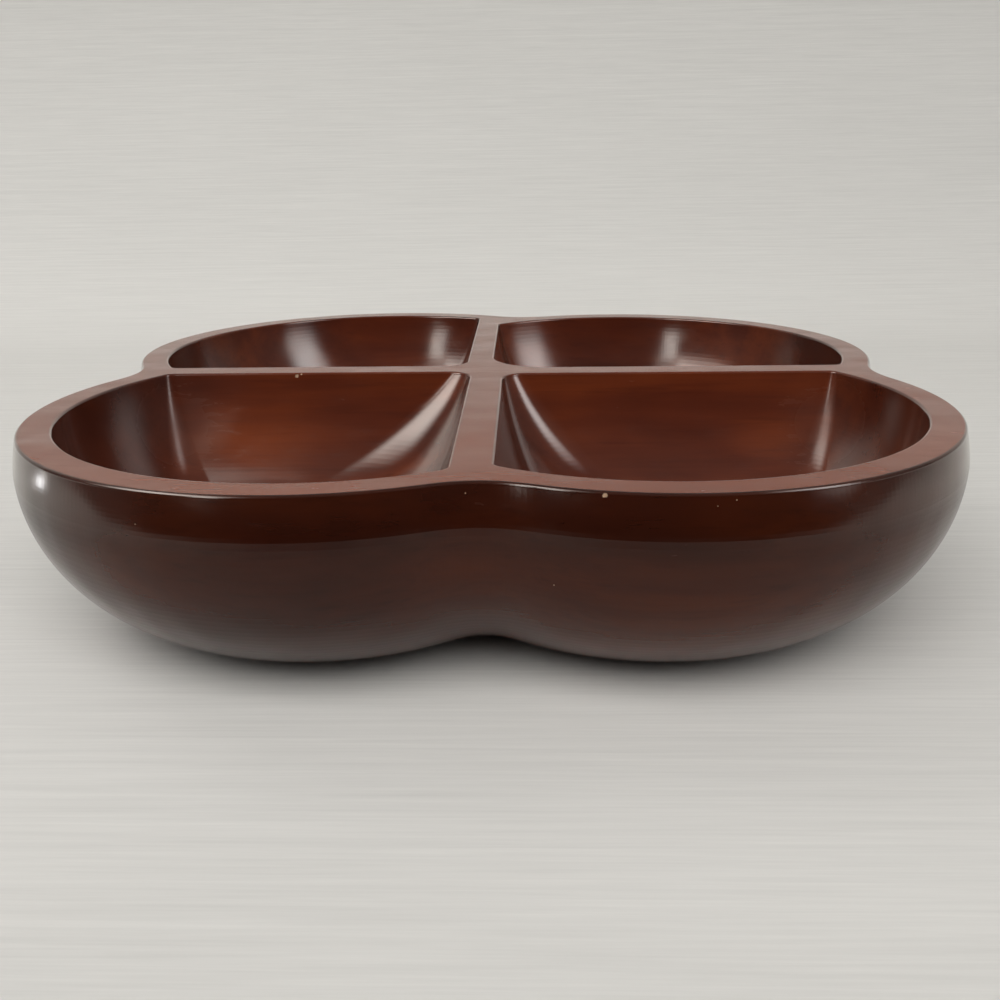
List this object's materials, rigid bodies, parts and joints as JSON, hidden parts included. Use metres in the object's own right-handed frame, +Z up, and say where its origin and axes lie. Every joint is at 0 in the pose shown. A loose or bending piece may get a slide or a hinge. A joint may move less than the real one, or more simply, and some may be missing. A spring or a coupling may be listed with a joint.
{
  "type": "divided serving bowl",
  "caption": "Low carved wooden serving bowl of round lobes in a clover plan, with a deep compartment in each lobe, a flat rim and a cross of dividers.",
  "frame": {"origin": "middle of the bowl in plan, at the height of the table that it stands on", "axes": "+Z up through the compartments' mouths; +X to the right along the wood grain and the cross divider; -Y towards the pictured front"},
  "size_m": [0.305, 0.305, 0.0675],
  "materials": {
    "lacquered_wood": "gloss"
  },
  "bodies": {
    "root": {"front_edge_stave": "lacquered_wood", "front_stave": "lacquered_wood", "middle_stave": "lacquered_wood", "rear_stave": "lacquered_wood", "rear_edge_stave": "lacquered_wood"}
  },
  "joints": []
}
